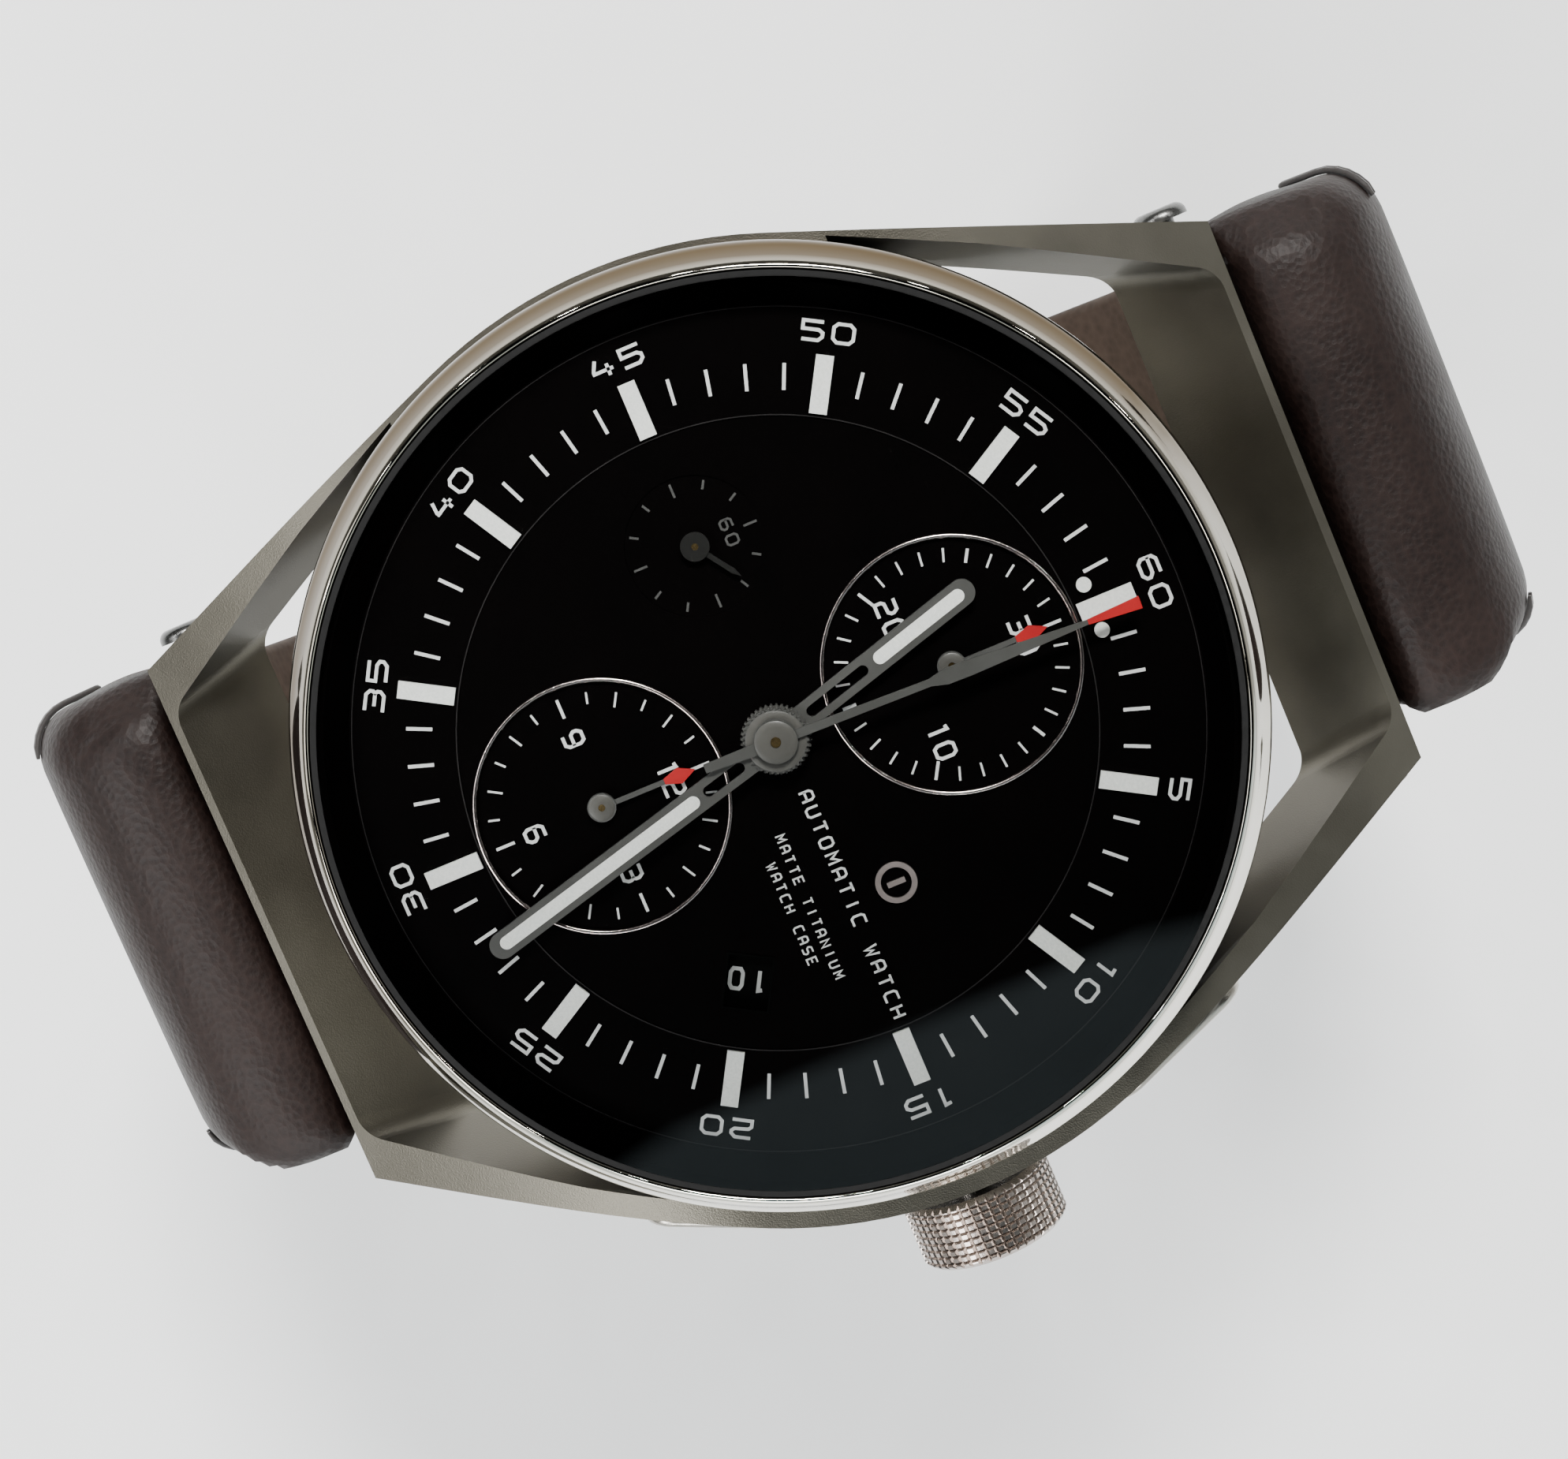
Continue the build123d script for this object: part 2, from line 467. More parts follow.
def hand_lume(hand):
    return Rot(0, 0, hand["angle"]) * lume_bar(hand, LUME_T)


def hour_wheel():
    """The twelve-hour wheel and the pipe that carries the hour hand."""
    wheel = toothed(r_tip=2.0, depth=0.16, teeth=40, z0=10.98, z1=11.14)
    pipe = ring(HOUR["bore_r"], 0, 11.0, HOUR_HAND_Z + HAND_T)
    return wheel + pipe - ring(MINUTE["bore_r"] + RUNNING, 0, 10, 13)


def cannon_pinion():
    """The pinion of the minute hand's pipe, inside the hour wheel."""
    pinion = toothed(r_tip=0.68, depth=0.12, teeth=12, z0=10.76, z1=10.9)
    pipe = ring(MINUTE["bore_r"], 0, 10.76, MINUTE_HAND_Z + HAND_T)
    return pinion + pipe - ring(CHRONO_ARBOR_R + RUNNING, 0, 10, 13)


def motion_wheel():
    """The wheel and pinion between the cannon pinion and the hour wheel, on a stud of the mainplate."""
    wheel = toothed(r_tip=1.84, depth=0.12, teeth=36, z0=10.76, z1=10.88, at=MOTION_AT)
    pinion = toothed(r_tip=0.5, depth=0.16, teeth=10, z0=10.88, z1=11.14, at=MOTION_AT)
    return wheel + pinion - ring(MOTION_BORE_R, 0, 10, 12, MOTION_AT)


def chrono_seconds_hand():
    """A needle with a boss, a lance-shaped blade half way out and a long tip."""
    z0, hub_r, hub_low, hub_high = CHRONO_HAND_Z, 0.93, 0.06, 0.1
    needle = [(0, 0.2), (6.9, 0.16), (7.6, 0.34), (8.6, 0.34), (13.9, 0.1), (16.2, 0.26), (16.2, -0.26),
              (13.9, -0.1), (8.6, -0.34), (7.6, -0.34), (6.9, -0.16), (0, -0.2)]
    tail = [(0, 0.28), (0, -0.28), (-3.2, -0.2), (-3.2, 0.2)]
    body = prism(needle, z0, z0 + NEEDLE_T) + prism(tail, z0, z0 + NEEDLE_T)
    body += ring(hub_r, 0, z0 - hub_low, z0 + NEEDLE_T + hub_high)
    return Rot(0, 0, CHRONO_ANGLE) * (body - ring(CHRONO_ARBOR_R, 0, z0 - 1, z0 + 1))


def counter_hand(at, angle=90.0, length=4.3, lozenge=(2.9, 3.6, 0.34)):
    """A counter's hand: a round boss, a thin arm and a lozenge at its tip."""
    z0, boss_r, boss_low, arm = COUNTER_HAND_Z, 0.62, 0.05, 0.11
    near, wide, half = lozenge
    plan = [(0, arm), (near, arm), (wide, half), (length, 0), (wide, -half), (near, -arm), (0, -arm)]
    body = prism(plan, z0, z0 + NEEDLE_T) + ring(boss_r, 0, z0 - boss_low, COUNTER_HUB_TOP)
    body -= ring(ARBOR_R, 0, z0 - 1, z0 + 1)
    return Pos(at[0], at[1], 0) * Rot(0, 0, angle) * body


def small_seconds_hand():
    return counter_hand(SMALL_SECONDS, angle=35.0, length=2.3, lozenge=(1.6, 1.9, 0.12))


def date_disc():
    """The date ring, with a notch on its inner edge for each of the thirty-one days."""
    days, notch_r = 31, 0.28
    r_in, r_out, z0, z1 = DATE_RING
    body = ring(r_out, r_in, z0, z1)
    notch = ring(notch_r, 0, z0, z1, (r_in, 0))
    for i in range(days):
        body -= Rot(0, 0, i * 360 / days) * notch
    return body


# ------------------------------------------------------------------ movement
def train_arbors():
    return (THIRD_AT, FOURTH_AT, ESCAPE_AT)


def movement_holder():
    """The spacer ring between the movement and the case, bored for the stem and the pushers' springs."""
    gap, step_w, step_z, stem_bore_r, spring_room, bore_l = 0.1, 0.9, 0.9, 1.0, 0.3, 8.0
    body = ring(CAVITY_R - gap, PLATE_R + gap, HOLDER_Z0, HOLDER_Z1)
    body -= ring(SEAT_R, CAVITY_R - step_w, SEAT_Z + step_z, HOLDER_Z1)
    body -= radial(0, PLATE_R) * Cylinder(stem_bore_r, bore_l)
    for side in (1, -1):
        body -= push_axis(side, PLATE_R) * Cylinder(PUSH_ROD_R + RUNNING + spring_room, bore_l)
    return body


def mainplate():
    """The plate under the dial: jewel seats, through bores for the arbors and the motion work's stud."""
    stud_top = 11.16
    body = ring(PLATE_R, 0, PLATE_Z0, PLATE_Z1)
    for at in (*train_arbors(), BALANCE_AT, PALLET_AT):
        body -= ring(JEWEL_R, 0, PLATE_Z0, PLATE_Z0 + JEWEL_T, at)
    for at in (FOURTH_AT, *sub_places()):
        body -= ring(PLATE_BORE_R, 0, PLATE_Z0, PLATE_Z1, at)
    body -= ring(CENTRE_BORE_R, 0, PLATE_Z0, PLATE_Z1)
    return body + ring(MOTION_STUD_R, 0, PLATE_Z1, stud_top, MOTION_AT)


def balance_bridge_plan():
    """Two arms that meet over the balance, each ending on a round foot."""
    plan = Pos(*BALANCE_AT) * Circle(BALANCE_BOSS_R)
    for foot in bridge_feet():
        dx, dy = foot[0] - BALANCE_AT[0], foot[1] - BALANCE_AT[1]
        arm = Rectangle(math.hypot(dx, dy), BALANCE_ARM_W)
        middle = (BALANCE_AT[0] + dx / 2, BALANCE_AT[1] + dy / 2)
        plan += Pos(*middle) * Rot(0, 0, math.degrees(math.atan2(dy, dx))) * arm
        plan += Pos(*foot) * Circle(FOOT_R)
    return plan


def balance_direction():
    return math.degrees(math.atan2(BALANCE_AT[1], BALANCE_AT[0]))


def bridge_feet():
    foot_spread = 32
    return [polar(FOOT_RING, balance_direction() + side * foot_spread) for side in (1, -1)]


def on_pillars(body, places):
    """The bridge with a pillar at each place, bored and sunk for its screw."""
    for at in places:
        body += ring(PILLAR_R, 0, BRIDGE_Z0, PLATE_Z0, at)
        body -= ring(SINK_R, 0, BRIDGE_Z0, BRIDGE_Z0 + SINK_T, at)
        body -= ring(SINK_BORE_R, 0, BRIDGE_Z0, BRIDGE_Z0 + SINK_BORE_L, at)
    return body


def balance_bridge():
    body = on_pillars(Pos(0, 0, BRIDGE_Z0) * extrude(balance_bridge_plan(), BALANCE_BRIDGE_T), bridge_feet())
    return body - ring(JEWEL_R, 0, BRIDGE_Z0, BRIDGE_Z1, BALANCE_AT)


def pillar_places():
    return [polar(PILLAR_RING, angle) for angle in PILLAR_ANGLES]


def bridge_screw_places():
    return pillar_places() + bridge_feet()


def train_bridge():
    """The three-quarter plate over the going train, on its pillars, cut away round the balance."""
    barrel_bore_r, screw_bore_r = 0.85, 0.3
    body = ring(BRIDGE_R, 0, BRIDGE_Z0, BRIDGE_Z1)
    keep_out = Pos(BALANCE_SPLIT + BRIDGE_R, 0, BRIDGE_Z0) * Box(2 * BRIDGE_R, 3 * BRIDGE_R, 6)
    body -= Rot(0, 0, balance_direction()) * keep_out
    body = on_pillars(body, pillar_places())
    for at in train_arbors():
        body -= ring(JEWEL_R, 0, BRIDGE_Z0, BRIDGE_Z1, at)
    body -= ring(barrel_bore_r, 0, BRIDGE_Z0, BRIDGE_Z1, BARREL_AT)
    return body - ring(screw_bore_r, 0, BRIDGE_Z0, BRIDGE_Z1)


def movement_screws():
    """The bridges' screws and the one that clamps the rotor's bearing."""
    sunk, side_gap, head_t, turn_each = 0.02, 0.03, 0.36, 50
    screws = [slotted_screw(at, BRIDGE_Z0 + sunk, SINK_R - side_gap, head_t, SINK_BORE_R - side_gap,
                            BRIDGE_Z0 + SINK_BORE_L - head_t / 4, turn_each * i)
              for i, at in enumerate(bridge_screw_places())]
    rotor_screw = slotted_screw(at=(0, 0), z_face=2.25, head_r=0.95, head_t=0.33, shank_r=0.27, shank_end=3.6)
    return Compound([*screws, rotor_screw])


def jewels():
    """Ruby bearings in the bridges and in the mainplate."""
    sunk, fourth_bore_r = 0.1, 0.2
    low = [ring(JEWEL_R, JEWEL_BORE, BRIDGE_Z0 + sunk, BRIDGE_Z1, at) for at in train_arbors()]
    low.append(ring(JEWEL_R, JEWEL_BORE, BRIDGE_Z0 + sunk, BRIDGE_Z0 + BALANCE_BRIDGE_T, BALANCE_AT))
    high = [ring(JEWEL_R, JEWEL_BORE, PLATE_Z0, PLATE_Z0 + JEWEL_T, at)
            for at in (THIRD_AT, ESCAPE_AT, BALANCE_AT, PALLET_AT)]
    high.append(ring(JEWEL_R, fourth_bore_r, PLATE_Z0, PLATE_Z0 + JEWEL_T, FOURTH_AT))
    return Compound(low + high)


def barrel():
    """The mainspring's drum with its toothed rim and its arbor."""
    drum_r, drum_z0, drum_z1, arbor_r = 5.2, 5.7, 8.0, 0.8
    rim = toothed(r_tip=BARREL_R, depth=0.35, teeth=84, z0=6.7, z1=7.3, at=BARREL_AT)
    drum = ring(drum_r, 0, drum_z0, drum_z1, BARREL_AT)
    return rim + drum + ring(arbor_r, 0, BRIDGE_Z0 + 0.2, PLATE_Z0 - 0.1, BARREL_AT)


def centre_wheel():
    """The centre wheel, hollow so that the chronograph's arbor runs through it."""
    pipe_r, pipe_z0 = 0.5, 6.2
    wheel = crossed_wheel(at=(0, 0), tip_r=3.6, depth=0.25, teeth=80, z0=8.3, z1=8.5, hub_r=1.2)
    pinion = toothed(r_tip=1.0, depth=0.3, teeth=14, z0=6.4, z1=8.3)
    pipe = ring(pipe_r, 0, pipe_z0, PLATE_Z0 - ARBOR_PLAY)
    return wheel + pinion + pipe - ring(CHRONO_ARBOR_R + RUNNING, 0, pipe_z0 - 1, PLATE_Z0 + 1)


def third_wheel():
    wheel = crossed_wheel(at=THIRD_AT, tip_r=3.9, depth=0.25, teeth=75, z0=5.9, z1=6.1, hub_r=1.0)
    pinion = toothed(r_tip=0.6, depth=0.18, teeth=10, z0=8.1, z1=8.7, at=THIRD_AT)
    return wheel + pinion + arbor(THIRD_AT)


def fourth_wheel():
    """The wheel that turns once a minute; its long arbor carries the small seconds hand."""
    wheel = crossed_wheel(at=FOURTH_AT, tip_r=3.5, depth=0.25, teeth=70, z0=7.2, z1=7.4, hub_r=1.0)
    pinion = toothed(r_tip=0.6, depth=0.18, teeth=10, z0=5.6, z1=6.4, at=FOURTH_AT)
    return wheel + pinion + arbor(FOURTH_AT, z1=COUNTER_HUB_TOP, high_pivot=False)


def escape_wheel():
    wheel = toothed(r_tip=2.0, depth=0.5, teeth=20, z0=6.45, z1=6.6, at=ESCAPE_AT)
    pinion = toothed(r_tip=0.45, depth=0.12, teeth=7, z0=6.9, z1=7.7, at=ESCAPE_AT)
    return wheel + pinion + arbor(ESCAPE_AT)


def pallet_fork():
    """An anchor beside the escape wheel with a forked lever that reaches towards the balance."""
    angle = math.degrees(math.atan2(BALANCE_AT[1] - PALLET_AT[1], BALANCE_AT[0] - PALLET_AT[0]))
    anchor = [(-0.35, 1.5), (0.1, 1.5), (0.3, 0.3), (2.2, 0.14), (2.2, -0.14), (0.3, -0.3), (0.1, -1.5),
              (-0.35, -1.5), (-0.2, -0.3), (-0.2, 0.3)]
    lever_z0, lever_z1, arbor_z0 = 6.45, 6.65, 6.15
    lever = Pos(*PALLET_AT, 0) * Rot(0, 0, angle) * prism(anchor, lever_z0, lever_z1)
    return lever + arbor(PALLET_AT, z0=arbor_z0, low_pivot=False)


def balance_wheel():
    """A two-armed balance with its roller, between its bridge and the mainplate."""
    z0, z1, over = 5.3, 5.75, 0.1
    roller_r, roller_z0, roller_z1 = 0.7, 5.95, 6.15
    crossings = spoked(wheel_r=BALANCE_R, hub_r=0.5, spokes=2, width=0.5, z0=z0 - over, z1=z1 + over,
                       at=BALANCE_AT, rim=0.55)
    wheel = ring(BALANCE_R, 0, z0, z1, BALANCE_AT) - crossings
    roller = ring(roller_r, 0, roller_z0, roller_z1, BALANCE_AT)
    return wheel + roller + arbor(BALANCE_AT, z0=BRIDGE_Z0 + BALANCE_BRIDGE_T + ARBOR_PLAY)


def hairspring():
    """A flat spiral from the collet out to its stud."""
    turns, r0, pitch, wall, steps, z0, height = 5, 0.55, 0.34, 0.05, 24, 4.75, 0.22
    points = [i / steps for i in range(turns * steps + 1)]
    inner = Spline(*[polar(r0 + pitch * t, 360 * t) for t in points])
    outer = Spline(*[polar(r0 + wall + pitch * t, 360 * t) for t in points])
    face = make_face([inner.edge(), Line(inner @ 1, outer @ 1), outer.edge(), Line(outer @ 0, inner @ 0)])
    return Pos(BALANCE_AT[0], BALANCE_AT[1], z0) * extrude(face, height)


def rotor():
    """A half disc with a heavy rim, a window on either side of its middle rib and a ring for the bearing."""
    rim_w, hub_r, hub_z0, hub_z1, web_z0, web_z1 = 2.2, 3.0, 2.3, 3.3, 2.5, 2.8
    window_r, window_in, window_w, rib_w = 10.6, 4.2, 13.0, 0.9
    half = Pos(0, -2 * ROTOR_R, 0) * Box(4 * ROTOR_R, 4 * ROTOR_R, 20)
    web = ring(ROTOR_R, 0, web_z0, web_z1) & half
    rim = ring(ROTOR_R, ROTOR_R - rim_w, ROTOR_Z0, ROTOR_Z0 + ROTOR_RIM_T) & half
    window = ring(window_r, window_in, web_z0 - 1, web_z1 + 1)
    window &= Pos(0, -window_r, 0) * Box(window_w, 2 * window_r, 20)
    rib = Box(rib_w, 4 * ROTOR_R, 20)
    body = web - (window - rib) + rim + ring(hub_r, 0, hub_z0, hub_z1)
    return body - ring(BEARING_R + RUNNING, 0, 0, hub_z1 + 1)


def rotor_bearing():
    z0, sink_r, sink_z, bore_r = 2.2, 1.0, 2.6, 0.3
    return ring(BEARING_R, 0, z0, BRIDGE_Z0) - ring(sink_r, 0, z0, sink_z) - ring(bore_r, 0, z0, BRIDGE_Z0)


def chrono_wheel():
    """The chronograph's centre wheel; its long arbor ends as the pin in the seconds hand's boss."""
    low_end, pin_rise = 4.0, 0.25
    wheel = crossed_wheel(at=(0, 0), tip_r=3.9, depth=0.16, teeth=120, z0=5.25, z1=5.4, hub_r=0.9, spokes=3,
                          spoke_w=0.45)
    return wheel + ring(CHRONO_ARBOR_R, 0, low_end, CHRONO_HAND_Z + pin_rise)


def counter_wheel(at, wheel_r, teeth):
    arbor_z0 = 8.1
    wheel = crossed_wheel(at=at, tip_r=wheel_r, depth=0.18, teeth=teeth, z0=8.3, z1=8.5, hub_r=0.7,
                          spoke_w=0.4)
    return wheel + ring(ARBOR_R, 0, arbor_z0, COUNTER_HUB_TOP, at)


# ------------------------------------------------------------------ crown
def crown_tube():
    return radial(0, TUBE_X) * (Cylinder(TUBE_R, TUBE_L) - Cylinder(TUBE_BORE, 2 * TUBE_L))


def crown():
    """A drum with pyramid knurling: rings of grooves crossed by grooves along its length."""
    length = CROWN_X1 - CROWN_X0
    plain_ends, flank, over = 0.7, 0.36, 0.1
    tube_room, tube_depth, end_wall = 0.15, 2.1, 0.8

    def groove(pitch):
        """The notch between two rows, as deep as the knurling."""
        return make_face(Polyline((CROWN_R - CROWN_PITCH_D, 0), (CROWN_R + over, pitch * flank),
                                  (CROWN_R + over, -pitch * flank), close=True))

    body = Cylinder(CROWN_R, length)
    body = chamfer(body.edges().filter_by(GeomType.CIRCLE), CROWN_CHAMFER)
    row = (length - plain_ends) / CROWN_ROWS
    round_cut = revolve(Plane.XZ * groove(row), Axis.Z)
    for i in range(CROWN_ROWS + 1):
        body -= Pos(0, 0, (i - CROWN_ROWS / 2) * row) * round_cut
    flute = extrude(groove(2 * math.pi * CROWN_R / CROWN_TEETH), length, both=True)
    body -= [Rot(0, 0, i * 360 / CROWN_TEETH) * flute for i in range(CROWN_TEETH)]
    body -= Pos(0, 0, -length / 2) * Cylinder(TUBE_R + tube_room, 2 * tube_depth)
    body -= Cylinder(STEM_R, length - 2 * end_wall)
    return radial(0, (CROWN_X0 + CROWN_X1) / 2) * body


def winding_stem():
    start, stop, pinion_x = 9.2, CROWN_X1 - 0.8, 10.6
    rod = radial(0, (start + stop) / 2) * Cylinder(STEM_R, stop - start)
    pinion = radial(0, pinion_x) * toothed(r_tip=1.2, depth=0.25, teeth=16, z0=-1.0, z1=1.0)
    return rod + pinion


def setting_lever():
    """The lever that rides on the stem and slides with it between winding and setting."""
    lever_x, width, height, thick, rise = 13.4, 3.0, 2.2, 0.6, 0.9
    block = Pos(0, rise, 0) * Box(width, height, thick)
    return radial(0, lever_x) * (block - Cylinder(STEM_R + GROOVE_GAP, 2))


# ------------------------------------------------------------------ strap and clasp
def strap_outline():
    """The strap's side view, from its padded start round the wide of the loop to the clasp."""
    wide, turn_z, start, end = STRAP_LOOP_Y, STRAP_TURN_Z, STRAP_START_Y, CLASP_BAR_Y
    snug = wide - STRAP_T
    foot, brow, crest = (start, 0.3), (start, 2.0), (28.4, 3.85)
    shoulder = Bezier(brow, (start + 0.05, 3.3), (26.6, 3.9), crest)
    outer_top = Bezier(crest, (31.8, 3.75), (wide, 0.9), (wide, turn_z))
    outer_low = Bezier((wide, turn_z), (wide, -28.0), (27.4, -42.4), (end, STRAP_END_Z0))
    inner_low = Bezier((end, STRAP_END_Z1), (25.8, -40.2), (snug, -27.0), (snug, turn_z))
    inner_top = Bezier((snug, turn_z), (snug, -2.8), (29.2, 0.2), foot)
    return make_face([
        shoulder, outer_top, outer_low, Line((end, STRAP_END_Z0), (end, STRAP_END_Z1)), inner_low, inner_top,
        Line(foot, brow)])


def strap_taper():
    """The strap's front view: full width near the lugs and narrower at the clasp."""
    wide, narrow = STRAP_W / 2, STRAP_END_W / 2
    top, taper_z0, taper_z1, bottom = 6, -5, -38, -50
    right = [(wide, top), (wide, taper_z0), (narrow, taper_z1), (narrow, bottom)]
    left = [(-x, z) for x, z in reversed(right)]
    return extrude(Plane.XZ * make_face(Polyline(*right, *left, close=True)), -60)


def padded(body):
    """The strap with the long edges of its outer face rounded, as a padded strap's are."""
    def lies_on_an_outer_edge(edge):
        middle, size = edge.center(), edge.bounding_box().size
        runs_along = abs(middle.X) > STRAP_W / 2 - 1 and size.X < 1 and size.Z > 1
        return runs_along and middle.Y > STRAP_START_Y and (middle.Z > 0 or middle.Y > STRAP_LOOP_Y - STRAP_T)
    return fillet(body.edges().filter_by(lies_on_an_outer_edge), STRAP_EDGE_R)


def strap_half():
    body = padded(across(strap_outline(), STRAP_W / 2)) & strap_taper()
    tongue = make_face(Polyline(
        (BAR_Y, BAR_Z - TONGUE_R), (STRAP_START_Y, 0.35), (STRAP_START_Y, 1.95), (BAR_Y, BAR_Z + TONGUE_R),
        close=True))
    body += across(tongue + disc_yz(BAR_Y, BAR_Z, TONGUE_R), STRAP_TONGUE_W / 2)
    body -= across(disc_yz(BAR_Y, BAR_Z, BAR_R + BAR_CLEARANCE), STRAP_W)
    eye_half, eye_r, notch_back, notch_l, notch_h = STRAP_END_W / 2 - 1.2, 1.15, 1.2, 5.6, 6.0
    notch = Box(STRAP_W, notch_l, notch_h) - Box(2 * eye_half, notch_l + 1, notch_h + 1)
    body -= Pos(0, CLASP_BAR_Y - notch_back, CLASP_BAR_Z) * notch
    body += across(disc_yz(CLASP_BAR_Y, CLASP_BAR_Z, eye_r), eye_half)
    return body - across(disc_yz(CLASP_BAR_Y, CLASP_BAR_Z, CLASP_BAR_R + BAR_CLEARANCE), STRAP_W)


def strap_6():
    return Rot(0, 0, 180) * strap_half()


def side_ears(y, inner_x, ear_t, radius, foot_y, foot_z):
    """A pair of ears at both sides: a round eye at the clasp bar's height and a foot that joins a plate."""
    ear = disc_yz(y, CLASP_BAR_Z, radius)
    ear += make_face(Polyline((y, CLASP_BAR_Z + radius), (foot_y, foot_z + 1.0), (foot_y, foot_z),
                              (y, CLASP_BAR_Z - radius), close=True))
    pair = across(ear, inner_x + ear_t) - across(ear, inner_x)
    return pair - across(disc_yz(y, CLASP_BAR_Z, CLASP_BAR_R), COVER_W)


def cover_outline():
    """The clasp cover's side view: flat under its middle and curving up to both ends."""
    flat, mid_y, end_y, far_y = 9.0, 13.0, 15.0, -CLASP_BAR_Y - 1.2
    low, high, sag, rise = CLASP_Z0, CLASP_Z0 + COVER_T, 0.1, 0.3
    return make_face([
        Line((-flat, low), (flat, low)), ThreePointArc((flat, low), (mid_y, low + sag), (end_y, low + rise)),
        Line((end_y, low + rise), (end_y, high + rise)),
        ThreePointArc((end_y, high + rise), (mid_y, high + sag), (flat, high)),
        Line((flat, high), (-flat, high)),
        ThreePointArc((-flat, high), (-mid_y, high + sag), (far_y, high + rise)),
        Line((far_y, high + rise), (far_y, low + rise)),
        ThreePointArc((far_y, low + rise), (-mid_y, low + sag), (-flat, low))])


def clasp_cover():
    """The outer cover: a curved plate with low side walls, ears for the strap's bar and two knuckles."""
    half, wall_h, wall_end, ear_r = COVER_W / 2, 1.9, 12.5, 1.15
    slot_w, slot_h, slot_rise, pin_play, button_room = 4.0, 2.3, 0.1, 0.2, 5.0
    inner_z = CLASP_Z0 + COVER_T
    body = across(cover_outline(), half)
    body += side_ears(-CLASP_BAR_Y, half - COVER_WALL_T, COVER_WALL_T, ear_r, -wall_end, inner_z)
    walls = Box(2 * half, 2 * wall_end, wall_h) - Box(2 * (half - COVER_WALL_T), 2 * wall_end + 1, wall_h + 1)
    body += Pos(0, WALL_SHIFT, inner_z + wall_h / 2) * walls
    knuckle = disc_yz(KNUCKLE_Y, KNUCKLE_Z, KNUCKLE_R)
    knuckle += Pos(KNUCKLE_Y, KNUCKLE_Z - KNUCKLE_FOOT / 2) * Rectangle(2 * KNUCKLE_R, KNUCKLE_FOOT)
    gap = Pos(KNUCKLE_Y, KNUCKLE_Z + slot_rise) * Rectangle(slot_w, slot_h)
    body += across(knuckle, KNUCKLE_OUTER) - across(gap, KNUCKLE_INNER)
    body -= across(disc_yz(KNUCKLE_Y, KNUCKLE_Z, KNUCKLE_PIN_R + pin_play), KNUCKLE_OUTER + 2 * pin_play)
    for side in (1, -1):
        opening = Box(button_room, BUTTON_L + 2 * RUNNING, BUTTON_H + 2 * RUNNING)
        body -= Pos(side * half, BUTTON_Y, BUTTON_Z) * opening
    return body


def clasp_blade():
    """The folding blade: ears for the strap's bar at one end, a knuckle with its riveted pin at the other."""
    low = CLASP_Z0 + COVER_T + BLADE_GAP + 0.5
    middle = low + BLADE_T / 2
    start, stop, cross = KNUCKLE_Y + KNUCKLE_R + 0.2, 15.0, 13.8
    ear_t, ear_r, side_gap, play, overlap = 1.0, 1.05, 0.1, 0.05, 0.4
    plate = Pos(0, (start + stop) / 2, middle) * Box(BLADE_W, stop - start, BLADE_T)
    plate += Pos(0, (cross + stop) / 2, middle) * Box(COVER_W - 2 * side_gap, stop - cross, BLADE_T)
    for slot_y in BLADE_SLOTS:
        plate -= Pos(0, slot_y, middle) * extrude(SlotOverall(*BLADE_SLOT), BLADE_T, both=True)
    plate += side_ears(CLASP_BAR_Y, COVER_W / 2 - side_gap - ear_t, ear_t, ear_r, cross, low - side_gap)
    knuckle = disc_yz(KNUCKLE_Y, KNUCKLE_Z, KNUCKLE_R - play)
    reach = start - KNUCKLE_Y + overlap
    knuckle += Pos(KNUCKLE_Y + reach / 2, middle) * Rectangle(reach, BLADE_T)
    pin = across(disc_yz(KNUCKLE_Y, KNUCKLE_Z, KNUCKLE_PIN_R), KNUCKLE_OUTER - play)
    return plate + across(knuckle, KNUCKLE_INNER - 2 * play) + pin


def clasp_button(side):
    """A side button of the clasp, with a rod that reaches in behind the wall."""
    head_t, proud, rounding = 0.9, 0.6, 0.25
    rod_l, rod_w, rod_h, rod_in = 2.6, 1.6, 0.8, 1.5
    half = COVER_W / 2
    head = Box(head_t, BUTTON_L, BUTTON_H)
    outer = head.faces().sort_by(Axis.X)[-1]
    head = Pos(half + proud - head_t / 2, 0, 0) * fillet(outer.edges(), rounding)
    rod = Pos(half - rod_in, 0, 0) * Box(rod_l, rod_w, rod_h)
    return Pos(0, BUTTON_Y, BUTTON_Z) * Rot(0, 0, 0 if side > 0 else 180) * (head + rod)


def clasp_bar(sign):
    """A spring bar through a strap's end eye, its ends in the ears of the cover or the blade."""
    play, end_gap = 0.01, 0.15
    return across(disc_yz(sign * CLASP_BAR_Y, CLASP_BAR_Z, CLASP_BAR_R - play), COVER_W / 2 - end_gap)


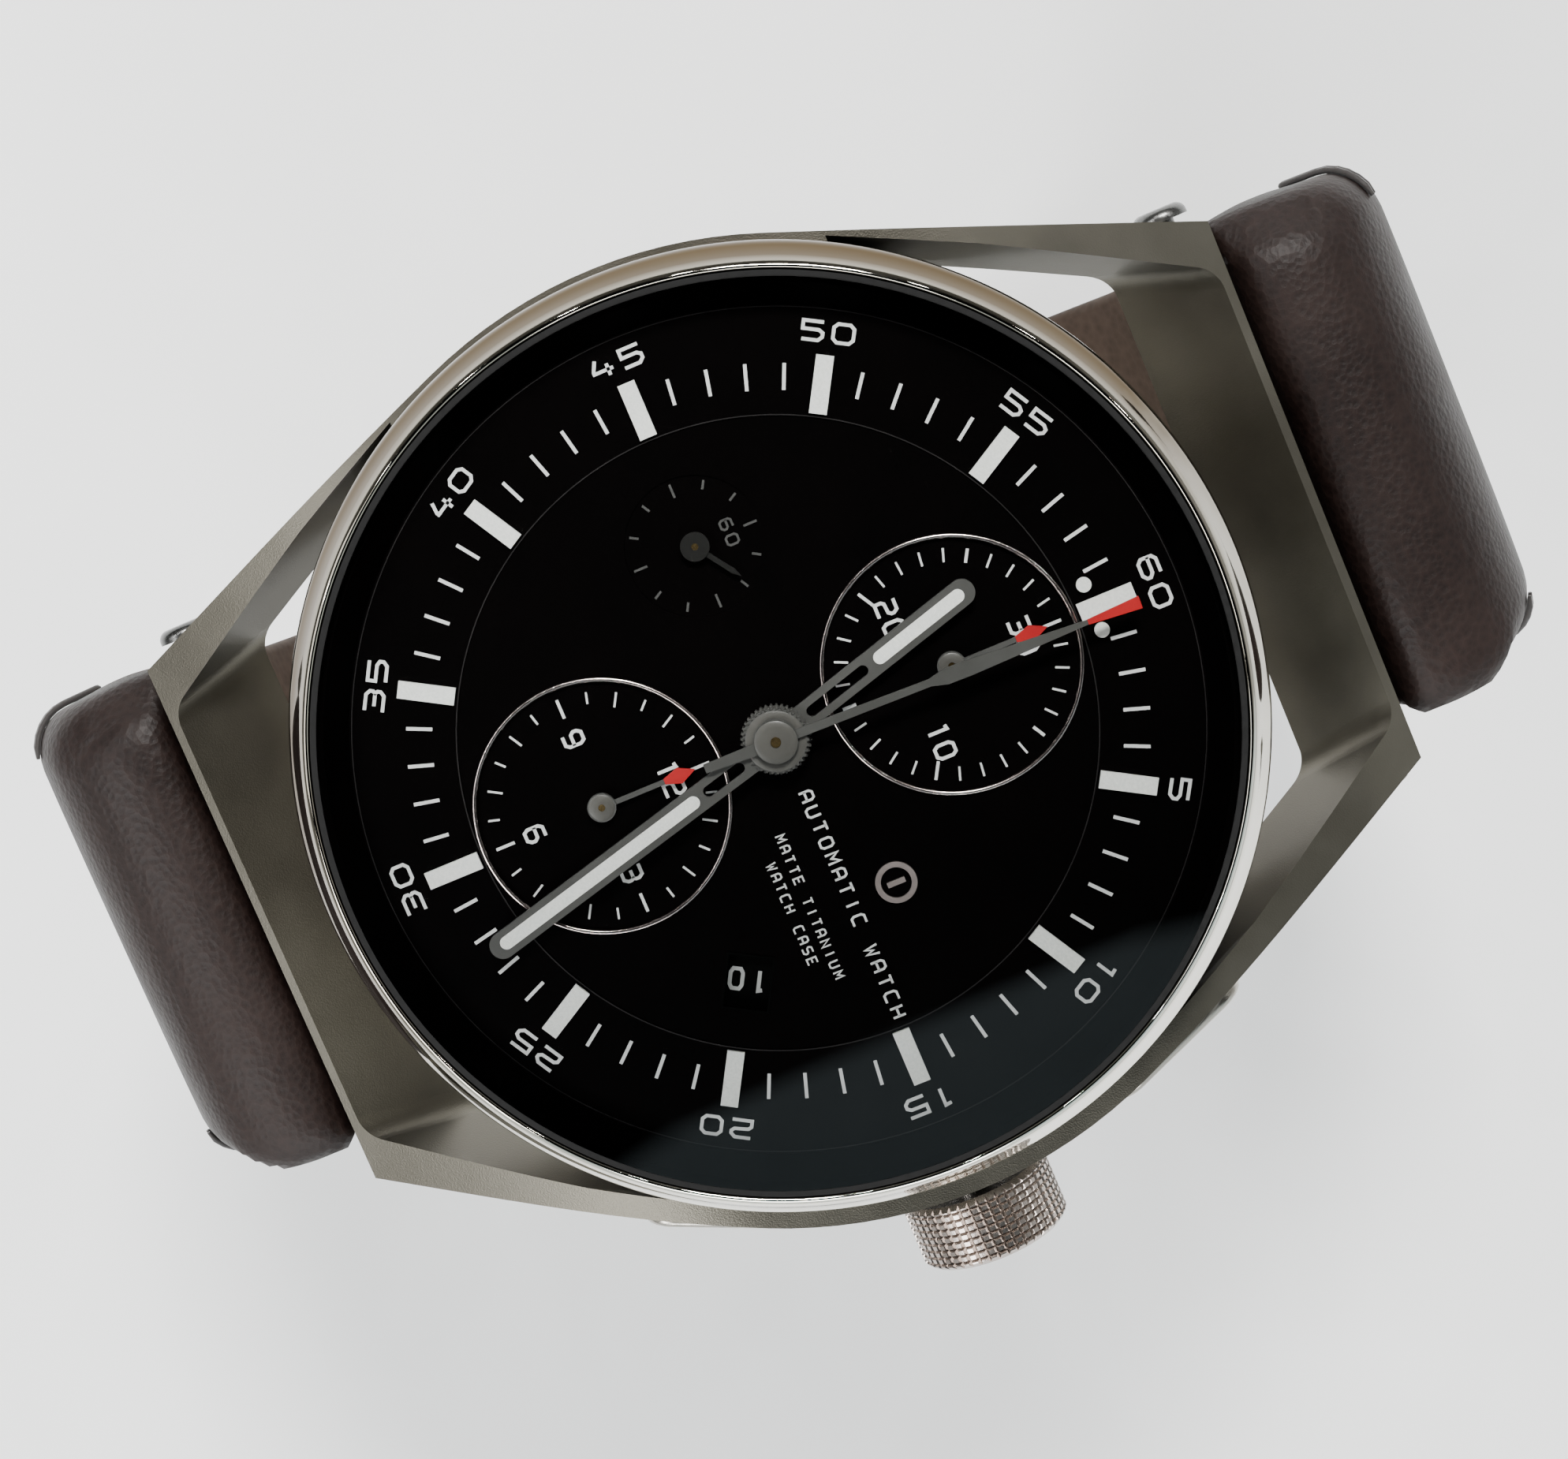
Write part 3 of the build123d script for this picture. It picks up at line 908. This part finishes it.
NODES = {
    "case_middle": case_middle,
    "lug_frame": lug_frame,
    "bezel": bezel,
    "crystal": crystal,
    "crystal_gasket": crystal_gasket,
    "rehaut_ring": rehaut_ring,
    "case_back_ring": case_back_ring,
    "case_back_crystal": case_back_crystal,
    "case_back_gaskets": case_back_gaskets,
    "case_back_screws": case_back_screws,
    "lug_bars": lug_bars,
    "crown_tube": crown_tube,
    "pusher_springs": pusher_springs,
    "dial": dial,
    "subdial_rings": subdial_rings,
    "hour_markers": hour_markers,
    "movement_holder": movement_holder,
    "mainplate": mainplate,
    "train_bridge": train_bridge,
    "balance_bridge": balance_bridge,
    "movement_screws": movement_screws,
    "jewels": jewels,
    "hairspring": hairspring,
    "rotor_bearing": rotor_bearing,
    "hour_hand": lambda: main_hand(HOUR),
    "hour_hand_lume": lambda: hand_lume(HOUR),
    "hour_wheel": hour_wheel,
    "minute_hand": lambda: main_hand(MINUTE),
    "minute_hand_lume": lambda: hand_lume(MINUTE),
    "cannon_pinion": cannon_pinion,
    "motion_wheel": motion_wheel,
    "date_disc": date_disc,
    "chrono_seconds_hand": chrono_seconds_hand,
    "chrono_wheel": chrono_wheel,
    "minute_counter_hand": lambda: counter_hand(SUB_TOP),
    "minute_counter_wheel": lambda: counter_wheel(SUB_TOP, wheel_r=2.6, teeth=60),
    "hour_counter_hand": lambda: counter_hand(SUB_LOW),
    "hour_counter_wheel": lambda: counter_wheel(SUB_LOW, wheel_r=2.2, teeth=48),
    "small_seconds_hand": small_seconds_hand,
    "fourth_wheel": fourth_wheel,
    "third_wheel": third_wheel,
    "centre_wheel": centre_wheel,
    "barrel": barrel,
    "escape_wheel": escape_wheel,
    "pallet_fork": pallet_fork,
    "balance_wheel": balance_wheel,
    "rotor": rotor,
    "crown": crown,
    "winding_stem": winding_stem,
    "setting_lever": setting_lever,
    "pusher_start": lambda: pusher(1),
    "pusher_reset": lambda: pusher(-1),
    "strap_12": strap_half,
    "strap_6": strap_6,
    "clasp_cover": clasp_cover,
    "clasp_blade": clasp_blade,
    "clasp_bar_12": lambda: clasp_bar(1),
    "clasp_bar_6": lambda: clasp_bar(-1),
    "clasp_button_right": lambda: clasp_button(1),
    "clasp_button_left": lambda: clasp_button(-1),
}


if __name__ == "__main__":
    os.makedirs("parts", exist_ok=True)
    for node, make in NODES.items():
        export_step(make(), f"parts/{node}.step")
